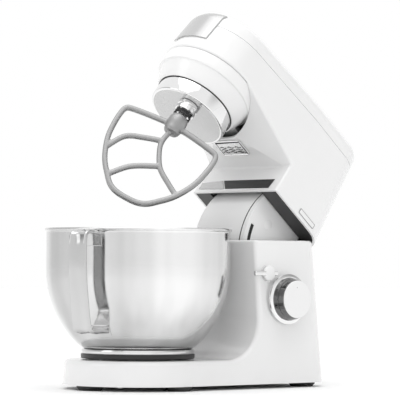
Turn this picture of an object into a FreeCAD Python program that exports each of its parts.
"""Stand mixer with a tilting head, a locking bowl and a planetary flat beater.

The table is the plane Z = 0 and the bowl's axis is the Z axis. +X is the side with the speed knob,
the front is -Y. Head parts are drawn with the head level and then tilted up to the rest pose.
"""
import FreeCAD, Part
import math
import os
from FreeCAD import Vector

# Driving dimensions, mm
TILT = 41.0                 # head angle above level in the rest pose
PIVOT_Y = 214.0
PIVOT_Z = 160.0
WALL = 3.0                  # casings
GAP = 0.6                   # between parts that move past each other

FOOT_H = 5.5
BASE_HALF_W = 89.0
BASE_REAR = 235.0
TOWER_HALF_W = 76.0
TOWER_REAR = 228.0
TOWER_FRONT = 119.0
TOWER_TOP = 177.0
DECK_Z = 35.0
DECK_R = 6.0
TOE_R = 50.0                # concave sweep from the tower's front into the deck
CORNER_R = 30.0

BOWL_RIM_Z = 189.7
BOWL_R = 109.0
BOWL_WALL = 1.2
BOWL_FLOOR_Z = 37.0

HEAD_BOTTOM = TOWER_TOP + GAP
BELLY_Z = 216.0
SEAM_Z = 291.0
CROWN_HALF_W = 69.0
CROWN_NOSE_R = 59.3
CROWN_REAR = 208.0
CROWN_R = 16.0
EDGE_R = 3.0
COLLAR_R = 63.5
HEAD_TOP = 315.5
HEAD_HALF_W = 76.0
HEAD_REAR = 221.5
STEP_Y = 116.0              # front of the skirt that sits on the tower
NOSE_R = 70.3               # at the height of the skirt's bottom edge; it drafts inwards upwards
NECK_R = 89.0
NECK_HALF_W = 45.0
NECK_LOW = -38.0            # angles of the neck's sector about the pivot, head level
NECK_HIGH = 35.0

MODULE = 1.5
RING_TEETH = 56
PINION_TEETH = 20
RING_Z = 214.6
RING_H = 7.0
ECC = MODULE * (RING_TEETH - PINION_TEETH) / 2
ECC_ANGLE = -42.0
CUP_R = 49.5
CUP_LOW = 193.6
CUP_TOP = 212.8
BEATER_ANGLE = 46.0
BEATER_LOW = 41.4
BEATER_BAR = 6.5
HUB_LOW = 148.0              # of the beater's hub on its shaft
HUB_HIGH = 173.0
PIN_Z = 161.0
SLEEVE_LOW = 181.2
BEATER_T = 7.0
BELT_Z = 287.0
BELT_H = 8.0
LARGE_PULLEY_R = 48.0
SMALL_PULLEY_R = 11.0
MOTOR_Y = 138.0
FRAME_Z = 224.0
FRAME_T = 6.0
RUN = 0.05                  # radial clearance of running fits

KNOB_Y = 162.5
KNOB_Z = 106.3
LEVER_Y = 134.5
LEVER_Z = 137.3

HUB_Z = 287.0
FOOT_PLACES = [(0, -72), (-74, 0), (74, 0), (-66, 205), (66, 205)]
SCREW_PLACES = [(-40, -60), (40, -60), (-60, 100), (60, 100), (-40, 215), (40, 215)]
BRACKET_X = 49.0
BRACKET_T = 7.0
CLIP_X = 57.5
PIN_HALF = 59.5
HANDLE_ANGLE = -70.0
BRIDGE_HALF_W = 20.0       # of the chassis where it passes through the collar's rear

X = Vector(1, 0, 0)
Y = Vector(0, 1, 0)
Z = Vector(0, 0, 1)
parts = {}


# Small helpers

def at(x, y, z):
    return Vector(x, y, z)


def rod(radius, z0, z1, x=0.0, y=0.0):
    return Part.makeCylinder(radius, z1 - z0, at(x, y, z0), Z)


def tube(outer, inner, z0, z1, x=0.0, y=0.0):
    return rod(outer, z0, z1, x, y).cut(rod(inner, z0 - 1, z1 + 1, x, y))


def rod_x(radius, x0, x1, y, z):
    return Part.makeCylinder(radius, x1 - x0, at(x0, y, z), X)


def block(x0, x1, y0, y1, z0, z1):
    return Part.makeBox(x1 - x0, y1 - y0, z1 - z0, at(x0, y0, z0))


def fused(solids):
    result = solids[0]
    for solid in solids[1:]:
        result = result.fuse(solid)
    return result.removeSplitter()


def group(solids):
    return Part.makeCompound(solids)


def line(a, b):
    return Part.LineSegment(a, b).toShape()


def arc(a, b, c):
    return Part.Arc(a, b, c).toShape()


def closed(points):
    return Part.makePolygon(points + [points[0]])


def side_plate(points, x0, x1):
    """A plate of the closed (y, z) outline between two X planes."""
    wire = closed([at(x0, y, z) for y, z in points])
    return Part.Face(wire).extrude(at(x1 - x0, 0, 0))


def turned(points, x=0.0, y=0.0):
    """A solid of revolution about the vertical axis at (x, y) from (radius, z) points."""
    wire = closed([at(x + r, y, z) for r, z in points])
    return Part.Face(wire).revolve(at(x, y, 0), Z, 360)


def outline(half_w, rear, corner, z, nose=None):
    """Plan outline: a round front about the bowl's axis, sides that flare back to the step where
    the front is the narrower end, and rounded rear corners."""
    nose = nose or half_w
    k = corner * (1 - math.sqrt(0.5))
    angle = math.atan2(STEP_Y, half_w) - math.acos(nose / math.hypot(half_w, STEP_Y))
    side = [(nose * math.cos(angle), nose * math.sin(angle))]
    if nose < half_w:
        side.append((half_w, STEP_Y))
    side.append((half_w, rear - corner))
    right = [at(x, y, z) for x, y in side]
    left = [at(-x, y, z) for x, y in side]
    return Part.Wire(
        [arc(left[0], at(0, -nose, z), right[0])]
        + [line(a, b) for a, b in zip(right, right[1:])]
        + [arc(right[-1], at(half_w - k, rear - k, z), at(half_w - corner, rear, z)),
           line(at(half_w - corner, rear, z), at(corner - half_w, rear, z)),
           arc(at(corner - half_w, rear, z), at(k - half_w, rear - k, z), left[-1])]
        + [line(a, b) for a, b in zip(left[::-1], left[-2::-1])])


def drafted(low, high):
    return Part.makeLoft([outline(*low), outline(*high)], True, True)


def tilted(shape):
    """Moves a head part from the level pose to the rest pose."""
    return shape.rotated(at(0, PIVOT_Y, PIVOT_Z), X, -TILT)


def add(name, shape):
    parts[name] = shape


def add_head(name, shape):
    parts[name] = tilted(shape)


# Stand

def stand_solid(inset, bottom):
    """The base and tower as one solid, every outer face moved in by the inset."""
    body = drafted(
        (BASE_HALF_W - inset, BASE_REAR - inset, CORNER_R - inset, bottom),
        (TOWER_HALF_W - inset, TOWER_REAR - inset, CORNER_R - inset, TOWER_TOP),
    )
    front, deck, top = TOWER_FRONT + inset, DECK_Z - inset, TOWER_TOP - inset
    toe = TOE_R + inset
    mid = toe * math.sqrt(0.5)
    centre_y, centre_z = front - toe, deck + toe
    far = BASE_REAR + 50
    profile = Part.Wire([
        line(at(-200, -200, bottom), at(-200, far, bottom)),
        line(at(-200, far, bottom), at(-200, far, top)),
        line(at(-200, far, top), at(-200, front, top)),
        line(at(-200, front, top), at(-200, front, centre_z)),
        arc(at(-200, front, centre_z), at(-200, centre_y + mid, centre_z - mid),
            at(-200, centre_y, deck)),
        line(at(-200, centre_y, deck), at(-200, -200, deck)),
        line(at(-200, -200, deck), at(-200, -200, bottom)),
    ])
    body = body.common(Part.Face(profile).extrude(at(400, 0, 0)))
    reach = HEAD_BOTTOM - PIVOT_Z - GAP - inset
    for step in (1, 2, 3):
        angle = 90 - TILT * step / 3
        cutter = block(-200, 200, 0, 200, -200, 200)
        cutter.rotate(at(0, 0, 0), X, angle)
        shift = Vector(0, math.cos(math.radians(angle)), math.sin(math.radians(angle))) * reach
        cutter.translate(shift + at(0, PIVOT_Y, PIVOT_Z))
        body = body.cut(cutter)
    return body


def base_shell():
    outer = rounded(stand_solid(0, FOOT_H), DECK_R, lambda box: box.ZMax < TOWER_TOP - 20 and box.ZMin > 30
                    and box.YMax < TOWER_FRONT + 1)
    outer = rounded(outer, EDGE_R, lambda box: box.ZMin > TOWER_TOP - 30)
    body = outer.cut(stand_solid(WALL, FOOT_H))
    neck_slot = block(-NECK_HALF_W - 2, NECK_HALF_W + 2, TOWER_FRONT + WALL, TOWER_REAR - 8, 150, 200)
    body = body.cut(neck_slot)
    body = body.cut(rod_x(7.2, 60, 100, KNOB_Y, KNOB_Z))
    body = body.cut(rod_x(7.2, 60, 100, LEVER_Y, LEVER_Z))
    body = body.cut(rod(30.3, DECK_Z - WALL - 1, DECK_Z + 1))
    gland = Part.makeCylinder(9.2, 20, at(0, BASE_REAR - 12, 26), Y)
    return body.cut(gland)


def inside_outline(inset, z):
    return outline(BASE_HALF_W - inset, BASE_REAR - inset, CORNER_R - inset, z)


def base_plate():
    plate = Part.Face(inside_outline(WALL + 1.2, FOOT_H + 0.2)).extrude(at(0, 0, 2.5))
    for x, y in SCREW_PLACES:
        plate = plate.cut(rod(2.2, 0, 20, x, y))
    return plate


def feet():
    rubber = []
    for x, y in FOOT_PLACES:
        rubber.append(turned([(0, 0), (13, 0), (14.5, 2), (16, 3.5), (16, FOOT_H), (0, FOOT_H)], x, y))
    return group(rubber)


def base_screws():
    screws = []
    for x, y in SCREW_PLACES:
        head = rod(3.6, FOOT_H - 1.6, FOOT_H + 0.2, x, y)
        screws.append(head.fuse(rod(2.1, FOOT_H + 0.2, FOOT_H + 14, x, y)))
    return group(screws)


def bowl_seat():
    """Flanged cup let into the deck, which centres the bowl's foot."""
    ring = turned([(44, DECK_Z), (30, DECK_Z), (30, 29), (26, 29), (26, 35.9), (44, 35.9)])
    return ring.fuse(rod(27, 29, 31)).removeSplitter()


def cord_gland():
    body = Part.makeCylinder(9.0, 14, at(0, BASE_REAR - 9, 26), Y)
    flange = Part.makeCylinder(12.0, 2.0, at(0, BASE_REAR - WALL - 3.1 - 1.2, 26), Y)
    bore = Part.makeCylinder(4.0, 40, at(0, BASE_REAR - 20, 26), Y)
    return body.fuse(flange).cut(bore).removeSplitter()


def pivot_brackets():
    ears = []
    for side in (-1, 1):
        x0 = BRACKET_X if side > 0 else -BRACKET_X - BRACKET_T
        low = TOWER_HALF_W - 14
        ear = side_plate([(196, 60), (218, 60), (221, 150), (221, 160), (203, 160), (203, 150)],
                         x0, x0 + BRACKET_T)
        ear = ear.fuse(rod_x(10, x0, x0 + BRACKET_T, PIVOT_Y, PIVOT_Z))
        foot_x = x0 if side > 0 else -low
        foot = block(foot_x, foot_x + low - BRACKET_X, 196, 218, 60, 68)
        ear = fused([ear, foot])
        ears.append(ear.cut(rod_x(6.0, -200, 200, PIVOT_Y, PIVOT_Z)))
    return group(ears)


def pivot_pin():
    pin = rod_x(6.0, -PIN_HALF, PIN_HALF, PIVOT_Y, PIVOT_Z)
    for x in (-CLIP_X - 1, CLIP_X):
        pin = pin.cut(rod_x(8, x, x + 1, PIVOT_Y, PIVOT_Z).cut(rod_x(5, x, x + 1, PIVOT_Y, PIVOT_Z)))
    return pin


def pivot_circlips():
    clips = []
    for x in (-CLIP_X - 1, CLIP_X):
        ring = rod_x(8.0, x + 0.05, x + 0.95, PIVOT_Y, PIVOT_Z)
        ring = ring.cut(rod_x(5.1, x - 1, x + 2, PIVOT_Y, PIVOT_Z))
        clips.append(ring.cut(block(x - 1, x + 2, PIVOT_Y - 2, PIVOT_Y + 2, PIVOT_Z - 12, PIVOT_Z)))
    return group(clips)


def wall_x(z):
    """X of the stand's outer side wall at a height."""
    share = (z - FOOT_H) / (TOWER_TOP - FOOT_H)
    return BASE_HALF_W - share * (BASE_HALF_W - TOWER_HALF_W)


KNOB_X = wall_x(KNOB_Z)
LEVER_X = wall_x(LEVER_Z)


def knob_bezel():
    ring = rod_x(27, KNOB_X - 1.2, KNOB_X + 1.5, KNOB_Y, KNOB_Z).cut(rod_x(7.1, 60, 120, KNOB_Y, KNOB_Z))
    return ring.cut(stand_solid(0, FOOT_H))


def speed_knob_body():
    start = KNOB_X + 3.2
    flange = rod_x(30.4, start, start + 4, KNOB_Y, KNOB_Z)
    waist = Part.makeCone(26.0, 22.8, 13.5, at(start + 4, KNOB_Y, KNOB_Z), X)
    body = flange.fuse(waist)
    body = body.cut(rod_x(20.5, start + 14.5, start + 20, KNOB_Y, KNOB_Z))
    return body.cut(rod_x(4.0, start - 1, start + 9, KNOB_Y, KNOB_Z)).removeSplitter()


def speed_knob_cap():
    start = KNOB_X + 3.2
    cap = rod_x(20.3, start + 14.6, start + 17.6, KNOB_Y, KNOB_Z)
    dome = Part.makeSphere(95, at(start + 20.3 - 95, KNOB_Y, KNOB_Z))
    top = rod_x(22.6, start + 17.6, start + 22, KNOB_Y, KNOB_Z).common(dome)
    return cap.fuse(top).removeSplitter()


def knob_shaft():
    return rod_x(3.95, KNOB_X - 30, KNOB_X + 12, KNOB_Y, KNOB_Z)


def speed_switch():
    body = block(KNOB_X - 32, KNOB_X - 9, KNOB_Y - 16, KNOB_Y + 16, KNOB_Z - 16, KNOB_Z + 16)
    return body.cut(rod_x(4.0, 0, 200, KNOB_Y, KNOB_Z))


def control_board():
    board = block(KNOB_X - 36, KNOB_X - 34.4, 132, 206, 64, 104)
    choke = block(KNOB_X - 50, KNOB_X - 36, 140, 158, 70, 92)
    triac = block(KNOB_X - 44, KNOB_X - 36, 176, 190, 74, 94)
    return fused([board, choke, triac])


def lever_collar():
    ring = rod_x(10.2, LEVER_X - 1.2, LEVER_X + 2.1, LEVER_Y, LEVER_Z)
    ring = ring.cut(rod_x(5.05, 0, 200, LEVER_Y, LEVER_Z))
    return ring.cut(stand_solid(0, FOOT_H))


def lever_handle():
    """Cap with a flat bar across it: the long end reaches forward."""
    start = LEVER_X + 2.4
    cap = rod_x(9.2, start, start + 4.4, LEVER_Y, LEVER_Z)
    bar = block(start + 0.3, start + 4.0, LEVER_Y - 24, LEVER_Y + 13, LEVER_Z - 2.8, LEVER_Z + 2.8)
    return fused([cap, bar]).cut(rod_x(4.0, start - 1, start + 3, LEVER_Y, LEVER_Z))


def lever_shaft():
    return rod_x(4.0, 51, LEVER_X + 5.4, LEVER_Y, LEVER_Z)


def latch_hook():
    """Arm on the lever's shaft whose nose drops into the neck's side slot."""
    hub = rod_x(9, 52, 58, LEVER_Y, LEVER_Z)
    arm = block(52, 58, LEVER_Y, LEVER_Y + 24, LEVER_Z - 4, LEVER_Z + 4)
    nose = block(52, 58, LEVER_Y + 18, LEVER_Y + 24, LEVER_Z - 4, LEVER_Z + 11)
    return fused([hub, arm, nose]).cut(rod_x(4.0, 0, 200, LEVER_Y, LEVER_Z))


def latch_spring():
    coil = rod_x(8, 60, 66, LEVER_Y, LEVER_Z).cut(rod_x(6, 0, 200, LEVER_Y, LEVER_Z))
    return coil


# Bowl

def bowl_profile(offset):
    """(radius, z) of the bowl's wall from its floor's edge up to the rim."""
    return [(50 - offset, BOWL_FLOOR_Z + offset), (56 - offset, 38.8 + offset), (60 - offset, 45.3),
            (68 - offset, 50), (78.5 - offset, 60), (89 - offset, 74), (98 - offset, 90),
            (104.5 - offset, 108), (108 - offset, 125), (BOWL_R - offset, 141),
            (BOWL_R - offset, BOWL_RIM_Z - 3)]


def bowl():
    outer = [(0, BOWL_FLOOR_Z)] + bowl_profile(0) + [(BOWL_R + 2, BOWL_RIM_Z - 3), (BOWL_R + 2, BOWL_RIM_Z)]
    inner = [(BOWL_R - BOWL_WALL, BOWL_RIM_Z)] + bowl_profile(BOWL_WALL)[::-1]
    return turned(outer + inner + [(0, BOWL_FLOOR_Z + BOWL_WALL)])


def bowl_foot():
    return turned([(60.6, 36.2), (64, 36.2), (65.5, 38), (67.5, 44.5), (67.5, 46.4), (66, 47.4), (64, 47.2),
                   (60.6, 44.9)])


def bowl_handle():
    """Strap handle: two lugs on the bowl's wall and a bowed grip, drawn along +X and turned."""
    near, far = BOWL_R + 0.4, BOWL_R + 33
    half = 11.5
    pts_out = [(near, 186), (far - 10, 186), (far - 2, 178), (far - 1, 140), (far - 12, 78), (far - 20, 67),
               (80, 67)]
    pts_in = [(80, 71.5), (far - 21, 71.5), (far - 16, 80), (far - 5, 140), (far - 6, 174),
              (far - 11, 181.5), (near, 181.5)]
    wire = closed([at(r, -half, z) for r, z in pts_out + pts_in])
    strap = Part.Face(wire).extrude(at(0, 2 * half, 0))
    keep_off = turned([(0, 40), (0, 200), (BOWL_R + 0.25, 200), (BOWL_R + 0.25, 141), (108.3, 125),
                       (104.8, 108), (98.3, 90), (89.3, 74), (78.8, 60)])
    strap = strap.cut(keep_off)
    strap.rotate(at(0, 0, 0), Z, HANDLE_ANGLE)
    return strap


# Head, drawn level

def rounded(solid, radius, chosen):
    """The solid with each edge whose box passes the test rounded off."""
    return solid.makeFillet(radius, [edge for edge in solid.Edges if chosen(edge.BoundBox)])


def head_solid(inset):
    """The head's outer shape, level, with every face moved in by the inset."""
    corner = CORNER_R - inset
    bottom = HEAD_BOTTOM - (1 if inset > 0 else 0)
    body = drafted((HEAD_HALF_W - inset, HEAD_REAR - inset, corner, bottom, NOSE_R - inset),
                   (CROWN_HALF_W - inset, CROWN_REAR - inset, corner, HEAD_TOP - inset,
                    CROWN_NOSE_R - inset))
    body = rounded(body, CROWN_R - inset, lambda box: box.ZMin > HEAD_TOP - inset - 1)
    floor = BELLY_Z + inset
    body = body.cut(block(-200, 200, -200, STEP_Y + inset, 0, floor))
    for side in (-1, 1):
        corners = [(-20, 0), (120, 0), (120, STEP_Y + inset), (-20, STEP_Y + inset)]
        chamfer = closed([at(side * x, y, chamfer_z(x, y) + inset) for x, y in corners])
        body = body.cut(Part.Face(chamfer).extrude(at(0, 0, -150)))
    core = COLLAR_R - 8 + inset
    nose = turned([(core, 100), (core, chamfer_z(core, 0) + inset),
                   (NOSE_R + 20, chamfer_z(NOSE_R + 20, 0) + inset), (NOSE_R + 20, 100)])
    return body.cut(nose.common(block(-200, 200, -200, 0, 0, 400)))


def chamfer_z(x, y):
    """Height of the slanted underside, which drops towards the rear and towards the middle."""
    return 256 + 0.385 * (x - HEAD_HALF_W) - 0.306 * y


def head_shells():
    outer = rounded(head_solid(0), EDGE_R, lambda box: box.ZMax < SEAM_Z and box.ZMin > HEAD_BOTTOM + 1
                    and box.YMax < STEP_Y + 1 and box.ZMax < 262)
    whole = outer.cut(head_solid(WALL))
    whole = whole.cut(rod(COLLAR_R, 150, chamfer_z(COLLAR_R, 0) - 0.5))
    whole = whole.cut(block(-22, 22, 68, 90, BELLY_Z - 2, BELLY_Z + WALL + 1))
    whole = whole.cut(rod_y(17.0, -90, -48, HUB_Z))
    groove = head_solid(-1).cut(head_solid(0.9))
    groove = groove.common(block(-200, 200, -200, 400, SEAM_Z - 0.3, SEAM_Z + 0.3))
    whole = whole.cut(groove)
    below = whole.common(block(-200, 200, -200, 400, 0, SEAM_Z))
    above = whole.common(block(-200, 200, -200, 400, SEAM_Z, 400))
    return below, above


def rod_y(radius, y0, y1, z, x=0.0):
    return Part.makeCylinder(radius, y1 - y0, at(x, y0, z), Y)


def underside_plate():
    gap = WALL + 0.5
    plate = drafted((HEAD_HALF_W - gap, HEAD_REAR - gap, CORNER_R - gap, HEAD_BOTTOM),
                    (HEAD_HALF_W - gap - 0.2, HEAD_REAR - gap - 0.4, CORNER_R - gap, HEAD_BOTTOM + 3))
    plate = plate.cut(block(-200, 200, -200, STEP_Y + WALL + 0.5, 0, 400))
    return plate.cut(block(-NECK_HALF_W - 2, NECK_HALF_W + 2, 0, HEAD_REAR - 12.5, 0, 400))


def underside_screws():
    screws = []
    for x in (-60, 60):
        for y in (128, 200):
            screws.append(rod(3.5, HEAD_BOTTOM + 3, HEAD_BOTTOM + 5, x, y).fuse(
                rod(2, HEAD_BOTTOM + 5, HEAD_BOTTOM + 15, x, y)))
    return group(screws)


def nose_collar():
    top = 249.5
    ring = turned([(51.5, 213.4), (58, 224), (62.5, 233), (63.2, 234), (63.2, top), (60.2, top), (60.2, 236),
                   (56, 226), (47.2, 223), (47.2, 213.4)])
    width = BRIDGE_HALF_W + GAP
    return ring.cut(block(-width, width, 30, 80, FRAME_Z - 0.4, 260))


def front_insert():
    return side_plate([(STEP_Y - 0.7, 181), (STEP_Y - 0.1, 181), (STEP_Y - 0.1, 195), (STEP_Y - 0.7, 195)],
                      -30, 62)


def vent_grille():
    plate = block(-24, 24, 66, 92, BELLY_Z - 1.6, BELLY_Z - 0.1)
    for x in (-13, 0, 13):
        for y in (74, 79, 84):
            plate = plate.cut(block(x - 4.5, x + 4.5, y - 1.2, y + 1.2, 200, 230))
    return plate


def hub_socket():
    sleeve = rod_y(16.8, -80, -53, HUB_Z).cut(rod_y(10.0, -85, -57, HUB_Z))
    return sleeve.common(head_solid(GAP))


def hub_cover():
    """Curved panel that follows the nose and hides the front drive socket."""
    skin = head_solid(-1.8).cut(head_solid(-0.4))
    window = block(-29, 29, -100, -30, 267, HEAD_TOP - 5)
    return skin.common(window)


def chassis_plate():
    plate = block(-54, 54, 65, 192, FRAME_Z, FRAME_Z + FRAME_T).common(head_solid(WALL + GAP))
    plate = plate.fuse(block(-BRIDGE_HALF_W, BRIDGE_HALF_W, 0, 66, FRAME_Z, FRAME_Z + FRAME_T))
    plate = plate.fuse(rod(46, FRAME_Z, FRAME_Z + FRAME_T))
    plate = plate.cut(rod(16.0, 200, 260))
    return plate.cut(rod(12.0, 200, 260, 0, MOTOR_Y)).removeSplitter()


def wedge(radius, x0, x1, low, high):
    """Sector about the pivot; angles are measured up from the forward direction."""
    start = math.radians(180 - high)
    sweep = math.radians(high - low)
    ends = [at(x0, PIVOT_Y + radius * math.cos(start + sweep * k / 2),
               PIVOT_Z + radius * math.sin(start + sweep * k / 2)) for k in range(3)]
    centre = at(x0, PIVOT_Y, PIVOT_Z)
    wire = Part.Wire([line(centre, ends[0]), arc(*ends), line(ends[2], centre)])
    return Part.Face(wire).extrude(at(x1 - x0, 0, 0))


def neck_shell():
    arc_plate = wedge(NECK_R, -NECK_HALF_W + 3.3, NECK_HALF_W - 3.3, NECK_LOW, NECK_HIGH)
    inner = wedge(NECK_R - 4, -NECK_HALF_W, NECK_HALF_W, NECK_LOW - 1, NECK_HIGH + 1)
    return arc_plate.cut(inner)


def neck_cheeks():
    cheeks = []
    for x0 in (-NECK_HALF_W, NECK_HALF_W - 3.2):
        sector = wedge(NECK_R, x0, x0 + 3.2, NECK_LOW, NECK_HIGH)
        riser = side_plate([(165, 200), (188, 172), (206, 166), (204, 178), (204, FRAME_Z - 0.1), (141, FRAME_Z - 0.1),
                            (142, 206)], x0, x0 + 3.2)
        boss = rod_x(11, x0, x0 + 3.2, PIVOT_Y, PIVOT_Z)
        cheek = fused([sector, riser, boss]).cut(block(-60, 60, 100, 300, FRAME_Z - 0.1, 300))
        slot = wedge(NECK_R - 6, -60, 60, -30, -14).cut(wedge(NECK_R - 11, -60, 60, -31, -13))
        cheek = cheek.cut(slot)
        cheeks.append(cheek.cut(rod_x(9.0, -60, 60, PIVOT_Y, PIVOT_Z)))
    return group(cheeks)


def pivot_bushes():
    bushes = []
    for x0 in (-NECK_HALF_W - 2, NECK_HALF_W - 6):
        bush = rod_x(9.0, x0, x0 + 8, PIVOT_Y, PIVOT_Z)
        bushes.append(bush.cut(rod_x(6.0 + RUN, -60, 60, PIVOT_Y, PIVOT_Z)))
    return group(bushes)


def gearbox_tube():
    return tube(20, 15.9, FRAME_Z + FRAME_T, 278).fuse(tube(26, 15.9, FRAME_Z + FRAME_T, FRAME_Z + FRAME_T + 4))


def drive_bearings():
    rings = []
    for z0 in (FRAME_Z, 266):
        rings.append(tube(15.9, 6.0 + RUN, z0, z0 + 9))
    return group(rings)


def motor_stator():
    return tube(36, 25, 240, 272, 0, MOTOR_Y).cut(block(-60, 60, MOTOR_Y + 32, MOTOR_Y + 60, 200, 300))


def motor_end_caps():
    low = tube(37, 4.0 + RUN, FRAME_Z + FRAME_T, FRAME_Z + FRAME_T + 3, 0, MOTOR_Y)
    low = low.fuse(tube(37, 34, FRAME_Z + FRAME_T, 240, 0, MOTOR_Y))
    high = tube(37, 4.0 + RUN, 278, 281, 0, MOTOR_Y).fuse(tube(37, 34, 272, 281, 0, MOTOR_Y))
    return group([low.removeSplitter(), high.removeSplitter()])


def brush_holders():
    holders = []
    for side in (-1, 1):
        x0 = 12.5 if side > 0 else -30
        holders.append(block(x0, x0 + 17.5, MOTOR_Y - 5, MOTOR_Y + 5, 273, 277))
    return group(holders)


def belt():
    """Ring belt around both pulleys, on its outer tangents."""
    gap = 0.35
    return belt_loop(gap + 2.0).cut(belt_loop(gap))


def belt_loop(offset):
    big, small = LARGE_PULLEY_R + offset, SMALL_PULLEY_R + offset
    lean = math.asin((big - small) / MOTOR_Y)
    cos, sin = math.cos(lean), math.sin(lean)
    web = closed([
        at(big * cos, big * sin, BELT_Z), at(small * cos, MOTOR_Y + small * sin, BELT_Z),
        at(-small * cos, MOTOR_Y + small * sin, BELT_Z), at(-big * cos, big * sin, BELT_Z),
    ])
    loop = Part.Face(web).extrude(at(0, 0, BELT_H))
    loop = loop.fuse(rod(big, BELT_Z, BELT_Z + BELT_H))
    return loop.fuse(rod(small, BELT_Z, BELT_Z + BELT_H, 0, MOTOR_Y)).removeSplitter()


def toothed_wheel(count, sign):
    """Gear blank outline; sign +1 has teeth outside, -1 has teeth pointing in."""
    pitch_r = MODULE * count / 2
    tip, root = pitch_r + sign * 1.2, pitch_r - sign * 1.6
    tip_half, root_half = 0.52, 1.42
    points = []
    for tooth in range(count):
        turn = 2 * math.pi * tooth / count
        for radius, half in ((root, -root_half), (tip, -tip_half), (tip, tip_half), (root, root_half)):
            angle = turn + half / radius
            points.append(at(radius * math.cos(angle), radius * math.sin(angle), RING_Z))
    return Part.Face(closed(points))


def ring_gear():
    hole = toothed_wheel(RING_TEETH, -1).extrude(at(0, 0, RING_H))
    hole.rotate(at(0, 0, 0), Z, ECC_ANGLE)
    return rod(47.2, RING_Z, RING_Z + RING_H).cut(hole)


def armature():
    core = rod(24, 242, 270, 0, MOTOR_Y)
    commutator = rod(12, 270, 277, 0, MOTOR_Y)
    return core.fuse(commutator).cut(rod(4.0, 200, 300, 0, MOTOR_Y)).removeSplitter()


def motor_shaft():
    return rod(4.0, FRAME_Z + 1, BELT_Z + BELT_H, 0, MOTOR_Y)


def motor_fan():
    blades = [rod(8, 234, 239.5, 0, MOTOR_Y)]
    for k in range(9):
        blade = block(7, 30, -0.8, 0.8, 234, 239.5)
        blade.rotate(at(0, 0, 0), Z, 40 * k)
        blade.translate(at(0, MOTOR_Y, 0))
        blades.append(blade)
    return fused(blades).cut(rod(4.0, 200, 300, 0, MOTOR_Y))


def small_pulley():
    drum = rod(SMALL_PULLEY_R, BELT_Z, BELT_Z + BELT_H, 0, MOTOR_Y)
    return drum.cut(rod(4.0, 200, 300, 0, MOTOR_Y))


def large_pulley():
    rim = tube(LARGE_PULLEY_R, LARGE_PULLEY_R - 3, BELT_Z, BELT_Z + BELT_H)
    web = rod(LARGE_PULLEY_R - 2, BELT_Z + 2, BELT_Z + 5)
    hub = rod(12, BELT_Z - 2, BELT_Z + BELT_H)
    return fused([rim, web, hub]).cut(rod(6.0, 200, 300))


def drive_shaft():
    return rod(6.0, CUP_LOW + 3, BELT_Z + BELT_H + 1)


def ecc_point():
    angle = math.radians(ECC_ANGLE)
    return ECC * math.cos(angle), ECC * math.sin(angle)


def planetary_cup():
    x, y = ecc_point()
    cup = turned([(0, CUP_LOW), (CUP_R - 1.5, CUP_LOW), (CUP_R - 0.4, CUP_LOW + 1.2), (CUP_R, CUP_TOP),
                  (CUP_R - 3, CUP_TOP), (CUP_R - 3.4, CUP_LOW + 3), (0, CUP_LOW + 3)])
    cup = cup.fuse(rod(11, CUP_LOW + 2, CUP_TOP)).fuse(rod(15, CUP_LOW + 2, CUP_TOP, x, y))
    cup = cup.cut(rod(6.0, CUP_LOW + 3, 300)).cut(rod(6.0 + RUN, 100, 300, x, y))
    return cup.removeSplitter()


def pinion():
    """The tooth gap that faces outward takes a ring tooth, so the pair is in mesh at rest."""
    x, y = ecc_point()
    wheel = toothed_wheel(PINION_TEETH, 1).extrude(at(0, 0, RING_H))
    wheel.rotate(at(0, 0, 0), Z, ECC_ANGLE + 180 / PINION_TEETH)
    wheel.translate(at(x, y, 0))
    return wheel.cut(rod(6.0, 200, 300, x, y))


def output_shaft():
    x, y = ecc_point()
    return rod(6.0, HUB_LOW + 2, RING_Z + RING_H, x, y)


def output_sleeve():
    x, y = ecc_point()
    return tube(13, 6.0, SLEEVE_LOW, CUP_LOW - 0.5, x, y)


def output_spring():
    """Spring that keeps the beater's hub on its drive pin."""
    x, y = ecc_point()
    return tube(11, 9.4, HUB_HIGH, SLEEVE_LOW - 0.1, x, y)


def drive_pin():
    x, y = ecc_point()
    pin = Part.makeCylinder(1.8, 22, at(x - 11, y, PIN_Z), X)
    pin.rotate(at(x, y, PIN_Z), Z, BEATER_ANGLE)
    return pin.cut(rod(6.0, 100, 300, x, y))


# (half-width, z) of the beater's outer outline from the middle of its foot to the top of its arm
BEATER_OUT = [(0, 0), (13, 0.8), (25, 5), (36, 15), (51, 34), (62.5, 60), (66.5, 84), (67, 102),
              (64.5, 110.5), (57, 114.5), (35, 118), (9, 121)]


def beater():
    """Flat beater: a rounded frame with a bowed spine and two bowed ribs on one side."""
    x, y = ecc_point()
    left = [(-w, z) for w, z in BEATER_OUT[:0:-1]]
    rim = closed([at(w, -BEATER_T / 2, BEATER_LOW + z) for w, z in left + BEATER_OUT])
    face = Part.Face(rim)
    loop = face.cut(face.makeOffset2D(-BEATER_BAR)).extrude(at(0, BEATER_T, 0))
    spine = bowed((-1, 108), (8, 66), (48, 36), BEATER_BAR)
    upper = bowed((-59, 50), (-36, 78), (1, 93), BEATER_BAR)
    lower = bowed((-37, 18), (-18, 41), (11, 57), BEATER_BAR)
    hub = rod(11.5, HUB_LOW, HUB_HIGH)
    whole = fused([loop, spine, upper, lower, hub])
    whole = whole.cut(rod(6.0 + RUN, 100, 200))
    whole = whole.cut(block(-12, 12, -2.2, 2.2, PIN_Z - 3, PIN_Z + 3))
    whole.rotate(at(0, 0, 0), Z, BEATER_ANGLE)
    whole.translate(at(x, y, 0))
    return whole


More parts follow.
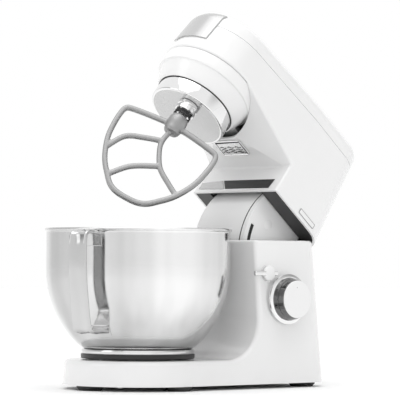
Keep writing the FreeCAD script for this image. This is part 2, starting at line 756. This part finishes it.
def bowed(start, middle, end, width):
    """Curved bar through three (w, z) points of the beater's plane, z from its foot."""
    def ring(offset):
        ends = []
        for w, z in (start, middle, end):
            ends.append(at(w, -BEATER_T / 2 + 0.5, BEATER_LOW + z))
        a, b, c = ends
        normal = (c - a).cross(Vector(0, 1, 0)).normalize() * offset
        return [p + normal for p in ends]
    one, two = ring(-width / 2), ring(width / 2)
    wire = Part.Wire([arc(*one), line(one[2], two[2]), arc(two[2], two[1], two[0]), line(two[0], one[0])])
    return Part.Face(wire).extrude(at(0, BEATER_T - 1, 0))


def build():
    add("base_shell", base_shell())
    add("base_plate", base_plate())
    add("feet", feet())
    add("base_screws", base_screws())
    add("bowl_seat", bowl_seat())
    add("cord_gland", cord_gland())
    add("pivot_brackets", pivot_brackets())
    add("pivot_pin", pivot_pin())
    add("pivot_circlips", pivot_circlips())
    add("speed_switch", speed_switch())
    add("control_board", control_board())
    add("knob_bezel", knob_bezel())
    add("knob_body", speed_knob_body())
    add("knob_cap", speed_knob_cap())
    add("knob_shaft", knob_shaft())
    add("lever_collar", lever_collar())
    add("lever_handle", lever_handle())
    add("lever_shaft", lever_shaft())
    add("latch_hook", latch_hook())
    add("latch_spring", latch_spring())
    add("bowl", bowl())
    add("bowl_foot", bowl_foot())
    add("bowl_handle", bowl_handle())

    housing, cover = head_shells()
    add_head("head_housing", housing)
    add_head("top_cover", cover)
    for name, make in (
        ("underside_plate", underside_plate), ("underside_screws", underside_screws),
        ("nose_collar", nose_collar), ("front_insert", front_insert), ("vent_grille", vent_grille),
        ("hub_socket", hub_socket), ("hub_cover", hub_cover), ("chassis_plate", chassis_plate),
        ("neck_shell", neck_shell), ("neck_cheeks", neck_cheeks), ("pivot_bushes", pivot_bushes),
        ("gearbox_tube", gearbox_tube), ("drive_bearings", drive_bearings),
        ("motor_stator", motor_stator), ("motor_end_caps", motor_end_caps),
        ("brush_holders", brush_holders), ("belt", belt), ("ring_gear", ring_gear),
        ("armature", armature), ("motor_shaft", motor_shaft), ("motor_fan", motor_fan),
        ("small_pulley", small_pulley), ("large_pulley", large_pulley), ("drive_shaft", drive_shaft),
        ("planetary_cup", planetary_cup), ("pinion", pinion), ("output_shaft", output_shaft),
        ("output_sleeve", output_sleeve), ("output_spring", output_spring), ("drive_pin", drive_pin),
        ("beater", beater),
    ):
        add_head(name, make())


def save():
    os.makedirs("parts", exist_ok=True)
    for name, shape in parts.items():
        shape.exportStep("parts/" + name + ".step")
        print(name, len(shape.Solids), round(shape.Volume), shape.isValid())


build()
save()
